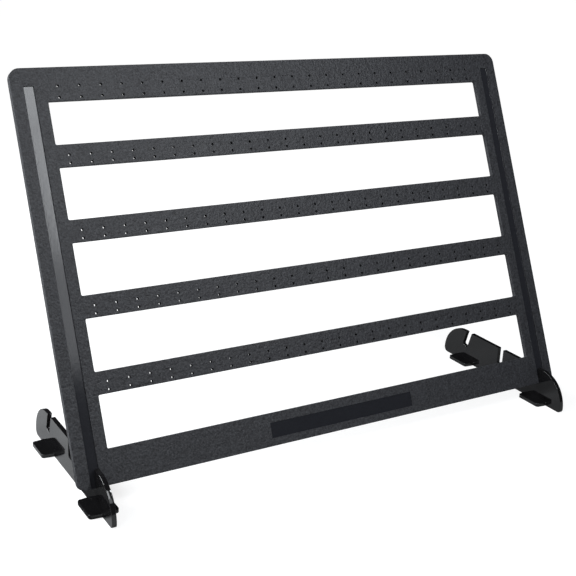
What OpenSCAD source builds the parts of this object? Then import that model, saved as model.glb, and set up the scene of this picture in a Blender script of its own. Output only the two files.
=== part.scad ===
// Earring display stand. A perforated panel leans back in the front slots of two equal feet.
// Millimetres, Z up. The origin is on the floor, midway between the feet and midway along them.

/* [Panel] */
// Columns of post holes across the panel
columns = 24; // [12:2:30]
// Distance from one column of holes to the next
hole_pitch = 14; // [12:0.5:18]
// Distance from the last column of holes to the window's end
end_margin = 7.5; // [6:0.5:12]
// Width of the upright at each end of the windows
upright_w = 22; // [20:0.5:32]
// Height of the bar above the first window
top_bar_h = 21.5; // [18:0.5:36]
// Height of the first window
first_window_h = 27; // [15:0.5:50]
// Height of every other window
window_h = 32.6; // [15:0.1:50]
// Number of windows
window_count = 5; // [2:1:6]
// Height of the bar between two windows
bar_h = 14.1; // [12:0.1:24]
// Height of the bar below the last window
bottom_bar_h = 21.5; // [18:0.5:36]
// Thickness of the flat plate
plate_t = 3; // [2:0.1:3.4]
// Depth of the rim round the plate, measured from the front face
rim_depth = 4.2; // [3.8:0.1:5]
// Thickness of the rim's wall
rim_t = 2; // [1.2:0.1:3]
// Radius of the panel's two upper corners
top_corner_r = 7; // [4:0.5:12]
// Radius of the panel's two lower corners
bottom_corner_r = 5; // [4:0.5:7]
// Radius of the windows' corners
window_corner_r = 1; // [0.5:0.1:4]

/* [Post holes] */
// Diameter of a hole for an earring post
hole_d = 1.6; // [1:0.1:2.4]
// Height of the lower row above its bar's lower edge
row_edge = 2.4; // [2:0.1:4]
// Distance between the two rows of a bar
row_gap = 5.1; // [3:0.1:6.5]
// Distance between the two rows of the top bar
top_row_gap = 7.2; // [3:0.1:9]

/* [Channels and label] */
// Distance from the panel's side edge to the channel's middle
channel_in = 11.2; // [10:0.1:12]
// Width of the channel down each upright
channel_w = 6.4; // [5:0.1:8]
// Depth of the channel
channel_depth = 0.9; // [0.4:0.1:1.4]
// Distance from the panel's top edge to the channel's upper end
channel_top = 11.5; // [8:0.5:40]
// Width of the rail on each side of the channel, behind the plate
rail_wall = 1.2; // [0.6:0.1:2]
// Length of the label recess
label_w = 114; // [40:1:130]
// Height of the label recess
label_h = 10; // [5:0.5:11]
// Depth of the label recess
label_depth = 0.4; // [0.2:0.1:0.8]
// Height of the label recess above the panel's lower edge
label_base = 5.2; // [4:0.1:6]

/* [Feet] */
// Length of a foot from tip to heel
foot_len = 136.5; // [125:0.5:180]
// Height of a foot
foot_h = 26; // [24:0.5:32]
// Thickness of a foot
foot_t = 3.2; // [2.4:0.1:4]
// Radius of the toe at the floor
toe_r = 2.5; // [1:0.1:3]
// Radius of the heel at the floor
heel_r = 4; // [2:0.5:8]

/* [Slots] */
// Width of a slot
slot_w = 5.6; // [5:0.1:6.2]
// Depth of a slot along its middle
slot_depth = 13.1; // [10:0.1:16]
// Distance from one slot's mouth to the next
slot_pitch = 38.5; // [30:0.5:40]
// Lean of the front slot and, the other way, of the rear slot
slot_lean = 16.6; // [5:0.1:20]
// Position of the middle slot, behind the foot's middle
mid_slot_y = 1; // [-1:0.5:3]
// Radius in the corners of a slot's bottom
slot_corner_r = 1.2; // [0.4:0.1:1.6]
// Radius of the lips at a slot's mouth
lip_r = 0.4; // [0.3:0.1:1.2]

/* [Pads] */
// Length of a pad where it meets the foot
pad_len = 22.2; // [16:0.2:26]
// Length of a pad at its outer end
pad_tip_len = 21; // [10:0.2:22]
// Reach of a pad from the foot's face
pad_reach = 8; // [5:0.2:12]
// Thickness of a pad
pad_t = 2.8; // [1.6:0.1:4]
// Radius of a pad's outer corners
pad_corner_r = 2; // [0.5:0.1:3]
// Middle of the front pads
front_pad_y = -42.4; // [-48:0.2:-30]
// Middle of the rear pads
rear_pad_y = 42; // [30:0.2:46]

/* [Fits] */
// Gap left where the panel rests in a slot
seat_gap = 0.05; // [0.02:0.01:0.1]
// Gap between a foot and the inner wall of the panel's channel
side_gap = 0.15; // [0.1:0.05:0.5]

/* [Hidden] */
$fn = 96;
past = 1;
window_w = (columns - 1) * hole_pitch + 2 * end_margin;
panel_w = window_w + 2 * upright_w;
panel_h = top_bar_h + first_window_h + (window_count - 1) * (bar_h + window_h) + bottom_bar_h;
channel_x = panel_w / 2 - channel_in;
web_t = rim_depth - channel_depth;
foot_x = channel_x - channel_w / 2 + side_gap + foot_t / 2;

// The panel stands loosely in its slot, so it rocks back further than the slot leans.
// Its back meets the slot's rear lip and its lower edge rests in the slot's bottom,
// where the rounded corner holds its front a little way from the slot's front wall.
front_slot_y = mid_slot_y - slot_pitch;
rear_wall = slot_depth + slot_w / 2 * tan(slot_lean);
function corner_rise(turn) = max(0, slot_corner_r - seat_gap - web_t * sin(turn));
function held_off(turn) = slot_corner_r - sqrt(pow(slot_corner_r, 2) - pow(corner_rise(turn), 2));
function play(turn) = slot_w - 2 * seat_gap - held_off(turn) - web_t * cos(turn);
function settle(turn, rounds) = rounds == 0 ? turn
    : settle(atan(play(turn) / (rear_wall - seat_gap)), rounds - 1);
rock = settle(8, 12);
panel_lean = slot_lean + rock;

// Front corner of the slot's bottom, then the channel floor's lower edge standing there
corner_y = front_slot_y - slot_depth * sin(slot_lean) - slot_w / 2 * cos(slot_lean);
corner_z = foot_h - slot_depth * cos(slot_lean) + slot_w / 2 * sin(slot_lean);
lift = seat_gap + web_t * sin(rock);
off_wall = seat_gap + held_off(rock);
web_y = corner_y + off_wall * cos(slot_lean) + lift * sin(slot_lean);
web_z = corner_z - off_wall * sin(slot_lean) + lift * cos(slot_lean);

// Lower edge of the panel's front face
edge_y = web_y - channel_depth * cos(panel_lean);
edge_z = web_z + channel_depth * sin(panel_lean);

panel_color = [0.16, 0.16, 0.165];
foot_color = [0.06, 0.06, 0.065];

// Height of a window's lower edge above the panel's; window 0 is the first one
function window_base(k) = panel_h - top_bar_h - first_window_h - k * (bar_h + window_h);

// A rectangle standing on the X axis, with one radius low down and another high up
module round_rect(w, h, low_r, high_r) {
    translate([-w / 2, low_r]) square([w, h - low_r - high_r]);
    translate([low_r - w / 2, 0]) square([w - 2 * low_r, h / 2]);
    translate([high_r - w / 2, h / 2]) square([w - 2 * high_r, h / 2]);
    for (side = [-1, 1]) {
        translate([side * (w / 2 - low_r), low_r]) circle(r = low_r);
        translate([side * (w / 2 - high_r), h - high_r]) circle(r = high_r);
    }
}

// The panel's outline, drawn smaller by an inset
module panel_outline(inset) {
    translate([0, inset])
        round_rect(panel_w - 2 * inset, panel_h - 2 * inset, bottom_corner_r - inset, top_corner_r - inset);
}

module window_outlines() {
    for (k = [0 : window_count - 1])
        translate([0, window_base(k)])
            round_rect(window_w, k == 0 ? first_window_h : window_h, window_corner_r, window_corner_r);
}

// One row of post holes at a height above the panel's lower edge
module hole_row(height) {
    for (i = [0 : columns - 1])
        translate([(i - (columns - 1) / 2) * hole_pitch, height, -plate_t - past])
            cylinder(d = hole_d, h = plate_t + 2 * past, $fn = 24);
}

module post_holes() {
    hole_row(panel_h - top_bar_h + row_edge);
    hole_row(panel_h - top_bar_h + row_edge + top_row_gap);
    for (k = [1 : window_count - 1]) {
        hole_row(window_base(k - 1) - bar_h + row_edge);
        hole_row(window_base(k - 1) - bar_h + row_edge + row_gap);
    }
}

// The plate with the rim behind its edge and a rail behind each channel
module panel_body() {
    translate([0, 0, -plate_t]) linear_extrude(plate_t) difference() {
        panel_outline(0);
        window_outlines();
    }
    translate([0, 0, -rim_depth]) linear_extrude(rim_depth) difference() {
        panel_outline(0);
        panel_outline(rim_t);
    }
    for (side = [-1, 1])
        translate([side * channel_x - channel_w / 2 - rail_wall, rim_t / 2, -rim_depth])
            cube([channel_w + 2 * rail_wall, panel_h - channel_top + rail_wall - rim_t / 2, rim_depth]);
}

module front_channels() {
    for (side = [-1, 1])
        translate([side * channel_x - channel_w / 2, -past, -channel_depth])
            cube([channel_w, panel_h - channel_top + past, channel_depth + past]);
}

module label_recess() {
    translate([-label_w / 2, label_base, -label_depth])
        cube([label_w, label_h, label_depth + past]);
}

// The panel with its front face on Z = 0 and its lower edge on the X axis, leaned back on its edge
module display_panel() {
    color(panel_color)
        translate([0, edge_y, edge_z]) rotate([90 - panel_lean, 0, 0]) difference() {
            panel_body();
            front_channels();
            label_recess();
            post_holes();
        }
}

// A foot seen from its side: a round nose, a round rear and a level top, on a flat base
module foot_outline() {
    nose_r = foot_h - toe_r;
    rear_r = foot_h - heel_r;
    nose_y = nose_r - foot_len / 2;
    rear_y = foot_len / 2 - rear_r;
    translate([nose_y, 0]) square([rear_y - nose_y, foot_h]);
    translate([toe_r - foot_len / 2, 0]) square([nose_r, toe_r + past]);
    translate([rear_y - past, 0]) square([rear_r - heel_r + past, heel_r + past]);
    translate([toe_r - foot_len / 2, toe_r]) circle(r = toe_r);
    translate([foot_len / 2 - heel_r, heel_r]) circle(r = heel_r);
    intersection() {
        translate([nose_y, toe_r]) circle(r = nose_r);
        translate([-foot_len / 2 - past, toe_r]) square([nose_r + 2 * past, foot_h]);
    }
    intersection() {
        translate([rear_y, heel_r]) circle(r = rear_r);
        translate([rear_y - past, heel_r]) square([rear_r + 2 * past, foot_h]);
    }
}

// A slot with rounded corners at its bottom, its mouth at the origin
module slot_outline() {
    straight = slot_depth - slot_corner_r;
    translate([-slot_w / 2, -straight]) square([slot_w, straight + 3 * past]);
    translate([slot_corner_r - slot_w / 2, -slot_depth]) square([slot_w - 2 * slot_corner_r, slot_depth]);
    for (side = [-1, 1])
        translate([side * (slot_w / 2 - slot_corner_r), slot_corner_r - slot_depth]) circle(r = slot_corner_r);
}

// What rounding takes off a sharp lip, between two edges that leave it along two directions
module lip_cut(lip, along, down) {
    inward = (along + down) / norm(along + down);
    half = acos(along * down) / 2;
    middle = lip + inward * lip_r / sin(half);
    reach = lip_r / tan(half);
    difference() {
        polygon([lip + along * reach, lip - inward * past, lip + down * reach, middle]);
        translate(middle) circle(r = lip_r);
    }
}

// The slots fan out: the front one leans back, the middle one is upright, the rear one leans forward
module foot_slots() {
    for (i = [-1 : 1]) {
        mouth_y = mid_slot_y + i * slot_pitch;
        turn = i * slot_lean;
        translate([mouth_y, foot_h]) rotate(turn) slot_outline();
        for (side = [-1, 1])
            lip_cut([mouth_y + side * slot_w / 2 / cos(turn), foot_h], [side, 0], [sin(turn), -cos(turn)]);
    }
}

// A flat pad beside the foot, narrower and rounded at its outer end
module pad(side, middle) {
    corner_x = foot_t / 2 + pad_reach - pad_corner_r;
    corner_reach = pad_tip_len / 2 - pad_corner_r;
    linear_extrude(pad_t) hull() {
        translate([side > 0 ? foot_t / 4 : -foot_t / 2, middle - pad_len / 2])
            square([foot_t / 4, pad_len]);
        for (end = [-1, 1])
            translate([side * corner_x, middle + end * corner_reach]) circle(r = pad_corner_r, $fn = 32);
    }
}

module foot(side) {
    color(foot_color) translate([side * foot_x, 0, 0]) {
        translate([-foot_t / 2, 0, 0]) rotate([90, 0, 90]) linear_extrude(foot_t) difference() {
            foot_outline();
            foot_slots();
        }
        for (out = [-1, 1])
            for (middle = [front_pad_y, rear_pad_y])
                pad(out, middle);
    }
}

module left_foot() {
    foot(-1);
}

module right_foot() {
    foot(1);
}

display_panel();
left_foot();
right_foot();
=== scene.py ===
"""Looks for an earring display stand: a grained matte panel that leans in two glossy slotted feet."""

import math

import bmesh
import bpy
from mathutils import Matrix, Vector


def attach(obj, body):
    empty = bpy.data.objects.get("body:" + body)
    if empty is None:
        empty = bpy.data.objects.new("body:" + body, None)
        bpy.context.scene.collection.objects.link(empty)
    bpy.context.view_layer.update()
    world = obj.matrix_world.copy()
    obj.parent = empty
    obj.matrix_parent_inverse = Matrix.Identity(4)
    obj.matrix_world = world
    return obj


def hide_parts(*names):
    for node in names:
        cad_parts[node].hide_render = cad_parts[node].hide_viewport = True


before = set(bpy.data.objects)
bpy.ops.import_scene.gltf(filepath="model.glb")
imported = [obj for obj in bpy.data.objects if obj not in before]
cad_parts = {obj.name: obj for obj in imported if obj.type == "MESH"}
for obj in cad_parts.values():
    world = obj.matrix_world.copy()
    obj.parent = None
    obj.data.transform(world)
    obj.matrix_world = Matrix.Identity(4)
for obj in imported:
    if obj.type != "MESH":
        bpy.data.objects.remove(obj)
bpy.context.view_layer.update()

MM = 0.001

# The panel's place: the lower edge of its front face in millimetres, and its lean
EDGE_Y = -44.346
EDGE_Z = 15.057
LEAN = math.radians(24.910)

# Post holes: for each bar its base and the gap between its two rows, up from the panel's lower edge
BARS = [(235.3, 7.2), (194.2, 5.1), (147.5, 5.1), (100.8, 5.1), (54.1, 5.1)]
ROW_EDGE = 2.4
ROWS = [base + ROW_EDGE + step for base, gap in BARS for step in (0.0, gap)]
HOLE_PITCH = 14.0
COLUMNS = 24
HOLE_REACH = 0.82

# Channels in the uprights, and the label recess in the bottom bar
CHANNEL_X = 179.3
CHANNEL_W = 6.4
CHANNEL_END = 245.3
CHANNEL_DEPTH = 0.9
LABEL_X = 57.0
LABEL_LOW, LABEL_HIGH = 5.2, 15.2
LABEL_DEPTH = 0.4
SLACK = 0.02
MARGIN = 0.1

# Softened edges: the full widths, the shares of finer ones, and the bluntest corner rounded off
PANEL_SOFT = 0.35
FOOT_SOFT = 0.32
HOLE_SHARE = 0.35
LABEL_SHARE = 0.3
CHANNEL_SHARE = 0.5
HOLE_RIM = 0.9
SHARP = math.radians(35)
SAME_POINT = 0.002
SAME_PLANE = math.radians(0.4)

# Middle of the painted shadow on the floor, in metres: a dark spot in the floor's paint for the
# lights and mirrors only
PAINTED_SHADOW_X = -0.195
PAINTED_SHADOW_Y = -0.030

WHITE = (1.0, 1.0, 1.0, 1.0)


class Field:
    """A socket of a node tree that takes part in sums like a number."""

    def __init__(self, tree, socket):
        self.tree = tree
        self.socket = socket

    def _sum(self, operation, first, second):
        node = self.tree.nodes.new("ShaderNodeMath")
        node.operation = operation
        for slot, value in zip(node.inputs, (first, second)):
            plug(self.tree, slot, value)
        return Field(self.tree, node.outputs[0])

    def __add__(self, other):
        return self._sum("ADD", self, other)

    __radd__ = __add__

    def __sub__(self, other):
        return self._sum("SUBTRACT", self, other)

    def __rsub__(self, other):
        return self._sum("SUBTRACT", other, self)

    def __mul__(self, other):
        return self._sum("MULTIPLY", self, other)

    __rmul__ = __mul__

    def __gt__(self, other):
        return self._sum("GREATER_THAN", self, other)

    def __lt__(self, other):
        return self._sum("LESS_THAN", self, other)

    def __abs__(self):
        return self._sum("ABSOLUTE", self, 0.0)


def plug(tree, socket, value):
    """Feeds a socket from a field, or sets it to a plain value."""
    if isinstance(value, Field):
        tree.links.new(value.socket, socket)
    else:
        socket.default_value = value


class Finish:
    """The node tree of a material or of the world. add() makes any node that a sum can't."""

    def __init__(self, owner):
        owner.use_nodes = True
        self.owner = owner
        self.tree = owner.node_tree
        self.tree.nodes.clear()

    def add(self, kind, settings=None, output=0, **sockets):
        node = self.tree.nodes.new("ShaderNode" + kind)
        for name, value in (settings or {}).items():
            setattr(node, name, value)
        for name, value in sockets.items():
            plug(self.tree, node.inputs[name.replace("_", " ")], value)
        return Field(self.tree, node.outputs[output])

    def coordinates(self, kind):
        """A coordinate as a vector and as its three parts."""
        point = self.add("TexCoord", output=kind)
        outputs = self.add("SeparateXYZ", Vector=point).socket.node.outputs
        return point, [Field(self.tree, part) for part in outputs]

    def noise(self, point, scale, detail, roughness):
        return self.add("TexNoise", Vector=point, Scale=scale, Detail=detail, Roughness=roughness)

    def blend(self, factor, first, second):
        """A colour that goes from the first to the second as the factor rises."""
        mix = self.add("Mix", {"data_type": "RGBA"}, output=2, Factor=factor)
        ends = mix.socket.node.inputs
        ends[6].default_value = first + (1.0,)
        ends[7].default_value = second + (1.0,)
        return mix

    def end(self, kind, shader):
        node = self.tree.nodes.new("ShaderNodeOutput" + kind)
        self.tree.links.new(shader.socket, node.inputs["Surface"])
        return self.owner


def grained_panel():
    """Charcoal moulding with a fine grain, polished in the channels and the label recess, with
    painted shade making the walls of the post holes near black.
    """
    finish = Finish(bpy.data.materials.new("grained_panel"))
    point, (x, y, z) = finish.coordinates("Object")
    up = (y - EDGE_Y * MM) * math.sin(LEAN) + (z - EDGE_Z * MM) * math.cos(LEAN)
    out = (z - EDGE_Z * MM) * math.sin(LEAN) - (y - EDGE_Y * MM) * math.cos(LEAN)

    sunk = (out < -0.5 * LABEL_DEPTH * MM) * (out > -1.25 * CHANNEL_DEPTH * MM)
    across = abs(abs(x) - CHANNEL_X * MM)
    channel = (across < (CHANNEL_W / 2 + SLACK) * MM) * (up < (CHANNEL_END + SLACK) * MM)
    label = (abs(x) < (LABEL_X + SLACK) * MM) * (up > (LABEL_LOW - SLACK) * MM)
    label = label * (up < (LABEL_HIGH + SLACK) * MM)
    polished = sunk * (channel + label)

    column = x * (1 / (HOLE_PITCH * MM)) + COLUMNS / 2
    beside = abs(finish.add("Math", {"operation": "FRACT"}, Value=column) - 0.5)
    in_row = 0.0
    for row in ROWS:
        in_row = in_row + (abs(up - row * MM) < HOLE_REACH * MM)
    # Painted shade: inside the post holes the colour goes near black, and the surface rougher, to
    # stand in for the shade in them
    hole_walls_painted_dark = in_row * (beside < HOLE_REACH / HOLE_PITCH) * (out < -0.45 * MM)

    grain = finish.noise(point, 620.0, 2.0, 0.6)
    mottle = finish.noise(point, 330.0, 2.0, 0.5)
    cloud = finish.noise(point, 22.0, 2.0, 0.5)
    speck = finish.noise(point, 900.0, 1.0, 0.5)
    height = (grain * 0.6 + mottle * 0.4) * (1 - polished * 0.96)
    bump = finish.add("Bump", Strength=0.85, Distance=0.001, Height=height)
    shade = ((speck - 0.5) * 2.1 + (mottle - 0.5) * 0.5) * (1 - polished * 0.9) + 0.5
    # The dark end serves both the grain's darkest specks and the painted shade in the post holes
    tone = finish.blend(shade * (1 - hole_walls_painted_dark), (0.002, 0.002, 0.004), (0.034, 0.0355, 0.041))
    matte = (0.59 + (cloud - 0.5) * 0.08) * (1 - polished)
    rough = matte + polished * 0.13 + hole_walls_painted_dark * 0.4
    shader = finish.add("BsdfPrincipled", Base_Color=tone, Roughness=rough, IOR=1.5, Normal=bump)
    return finish.end("Material", shader)


def polished_foot():
    """Glossy black moulding with the faint waviness of a thin polished sheet."""
    finish = Finish(bpy.data.materials.new("polished_foot"))
    point, _ = finish.coordinates("Object")
    wave = finish.noise(point, 45.0, 1.0, 0.4)
    haze = finish.noise(point, 160.0, 3.0, 0.6)
    bump = finish.add("Bump", Strength=0.2, Distance=0.0003, Height=wave)
    rough = 0.07 + (haze - 0.5) * 0.04
    tone = finish.blend(haze, (0.0045, 0.0045, 0.005), (0.0075, 0.0072, 0.0075))
    shader = finish.add("BsdfPrincipled", Base_Color=tone, Roughness=rough, IOR=1.5, Normal=bump)
    return finish.end("Material", shader)


def pale_floor():
    """White to the eye, with the stand's soft shadow left on it, and pale grey to the lights.

    A painted shadow beside the left foot darkens the floor's paint for the lights and mirrors only,
    so it shows where the foot's gloss mirrors it.
    """
    finish = Finish(bpy.data.materials.new("pale_floor"))
    _, (x, y, _) = finish.coordinates("Object")
    seen = finish.add("LightPath", output="Is Camera Ray")
    far = finish.add("Clamp", Value=(x * x + y * y - 0.03) * 0.8, Min=0.0, Max=0.2)
    off_x = x - PAINTED_SHADOW_X
    off_y = y - PAINTED_SHADOW_Y
    # Painted shadow: a soft dark circle in the floor's paint beside the left foot, seen only by rays
    # other than the camera's
    painted_shadow_reach = (0.0009 - off_x * off_x - off_y * off_y) * 3000.0
    painted_shadow = finish.add("Clamp", Value=painted_shadow_reach, Min=0.0, Max=1.0)
    paint = finish.add("BsdfDiffuse", Color=seen * 0.34 + (1 - seen) * (0.50 - painted_shadow * 0.44))
    glow = finish.add("Emission", Color=WHITE, Strength=seen * (far + 0.78))
    both = finish.add("AddShader")
    for slot, part in zip(both.socket.node.inputs, (paint, glow)):
        plug(finish.tree, slot, part)
    return finish.end("Material", both)


def white_room():
    """White to the eye; to the lights dim, and a little brighter in front and to the left."""
    finish = Finish(bpy.data.worlds.new("white_room"))
    _, (x, y, _) = finish.coordinates("Generated")
    level = finish.add("Clamp", Value=y * -0.17 - x * 0.27, Min=0.01, Max=0.3)
    seen = finish.add("LightPath", output="Is Camera Ray")
    air = finish.add("Background", Color=WHITE, Strength=seen * (1 - level) + level)
    return finish.end("World", air)


def panel_edge(point):
    """How far an edge of the panel at a point is softened, as a share of the full width."""
    y = point.y / MM - EDGE_Y
    z = point.z / MM - EDGE_Z
    across = abs(point.x / MM)
    up = y * math.sin(LEAN) + z * math.cos(LEAN)
    out = z * math.sin(LEAN) - y * math.cos(LEAN)
    column = across / HOLE_PITCH - 0.5
    beside = abs(column - round(column)) * HOLE_PITCH
    in_columns = across < COLUMNS / 2 * HOLE_PITCH and beside < HOLE_RIM
    if in_columns and any(abs(up - row) < HOLE_RIM for row in ROWS):
        return HOLE_SHARE
    if across < LABEL_X + MARGIN and LABEL_LOW - MARGIN < up < LABEL_HIGH + MARGIN:
        return LABEL_SHARE
    if abs(across - CHANNEL_X) < CHANNEL_W / 2 + MARGIN and out > -CHANNEL_DEPTH - 3 * MARGIN:
        return CHANNEL_SHARE
    return 1.0


def softened(node, name, width, share=None):
    """A merged copy of a CAD node with its sharp edges rounded off, standing in for the node."""
    bm = bmesh.new()
    bm.from_mesh(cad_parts[node].data)
    bmesh.ops.remove_doubles(bm, verts=bm.verts, dist=SAME_POINT * MM)
    bmesh.ops.dissolve_limit(bm, angle_limit=SAME_PLANE, verts=bm.verts, edges=bm.edges)
    weight = bm.edges.layers.float.new("bevel_weight_edge")
    for edge in bm.edges:
        if len(edge.link_faces) == 2 and edge.calc_face_angle(0.0) > SHARP:
            middle = (edge.verts[0].co + edge.verts[1].co) / 2
            edge[weight] = share(middle) if share else 1.0
    for face in bm.faces:
        face.smooth = True
    mesh = bpy.data.meshes.new(name)
    bm.to_mesh(mesh)
    bm.free()
    piece = bpy.data.objects.new(name, mesh)
    bpy.context.scene.collection.objects.link(piece)
    bevel = piece.modifiers.new("soft edges", "BEVEL")
    bevel.limit_method = "WEIGHT"
    bevel.width = width * MM
    bevel.segments = 2
    bevel.use_clamp_overlap = False
    shading = piece.modifiers.new("even shading", "WEIGHTED_NORMAL")
    shading.mode = "FACE_AREA"
    shading.weight = 100
    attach(piece, "root")
    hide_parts(node)
    return piece


def lamp(name, place, target, width, height, radiance):
    """A soft box at a place that faces a target, with the brightness of its own face."""
    light = bpy.data.lights.new(name, "AREA")
    light.shape = "RECTANGLE"
    light.size = width
    light.size_y = height
    light.color = (0.94, 0.97, 1.0)
    light.energy = radiance * math.pi * width * height
    box = bpy.data.objects.new(name, light)
    aim = (Vector(place) - Vector(target)).normalized()
    box.matrix_world = Matrix.Translation(place) @ aim.to_track_quat("Z", "Y").to_matrix().to_4x4()
    bpy.context.scene.collection.objects.link(box)


def aimed_camera(place, lens, azimuth, elevation, roll):
    """A camera at a place, turned by three angles in degrees, with its lens in millimetres."""
    lens_data = bpy.data.cameras.new("camera")
    lens_data.sensor_width = 36.0
    lens_data.lens = lens
    camera = bpy.data.objects.new("camera", lens_data)
    bpy.context.scene.collection.objects.link(camera)
    azimuth, elevation, roll = (math.radians(angle) for angle in (azimuth, elevation, roll))
    flat = math.cos(elevation)
    ahead = Vector((-math.sin(azimuth) * flat, math.cos(azimuth) * flat, -math.sin(elevation)))
    level = Vector((math.cos(azimuth), math.sin(azimuth), 0.0))
    above = level.cross(ahead)
    right = math.cos(roll) * level + math.sin(roll) * above
    upright = -math.sin(roll) * level + math.cos(roll) * above
    turn = Matrix((right, upright, -ahead)).transposed().to_4x4()
    camera.matrix_world = Matrix.Translation(place) @ turn
    return camera


panel = softened("display_panel", "moulded_panel", PANEL_SOFT, panel_edge)
panel.data.materials.append(grained_panel())

black = polished_foot()
for side in ("left", "right"):
    foot = softened(side + "_foot", side + "_moulded_foot", FOOT_SOFT)
    foot.data.materials.append(black)

floor_mesh = bpy.data.meshes.new("floor")
floor_mesh.from_pydata([(-4, -4, 0), (4, -4, 0), (4, 4, 0), (-4, 4, 0)], [], [(0, 1, 2, 3)])
floor_mesh.materials.append(pale_floor())
floor = bpy.data.objects.new("floor", floor_mesh)
bpy.context.scene.collection.objects.link(floor)
bpy.context.scene.world = white_room()

# Two columns of three boxes in front of the stand: a narrow bright one, and a dim one that shows
# in the left channel. Each row: name, step up the column, then place across and brightness of both.
BOX_TILT = math.radians(41.7)
BOX_HEIGHT = 0.14
MIDDLE_Y = -0.42
MIDDLE_Z = 0.494
AIM = (0.0, 0.0, 0.12)
STACK = (
    ("upper", BOX_HEIGHT, 0.116, 52.0, -0.016, 8.0),
    ("middle", 0.0, 0.110, 26.0, -0.026, 7.5),
    ("lower", -BOX_HEIGHT, 0.110, 7.0, 0.000, 2.5),
)
for name, step, bright_x, bright, dim_x, dim in STACK:
    y = MIDDLE_Y + step * math.sin(BOX_TILT)
    z = MIDDLE_Z + step * math.cos(BOX_TILT)
    lamp(name + "_front_box", (bright_x, y, z), AIM, 0.055, BOX_HEIGHT, bright)
    lamp(name + "_side_box", (dim_x, y, z), AIM, 0.075, BOX_HEIGHT, dim)
lamp("left_floor_box", (-0.75, 0.35, 0.55), (-0.33, 0.08, 0.0), 0.5, 0.5, 16.0)
lamp("left_strip", (-0.50, -0.25, 0.45), (-0.18, -0.05, 0.02), 0.04, 0.45, 15.0)

bpy.context.scene.camera = aimed_camera((-0.3840, -0.58035, 0.3416), 67.12, -31.764, 19.079, 2.682)
bpy.context.scene.view_settings.view_transform = "Standard"
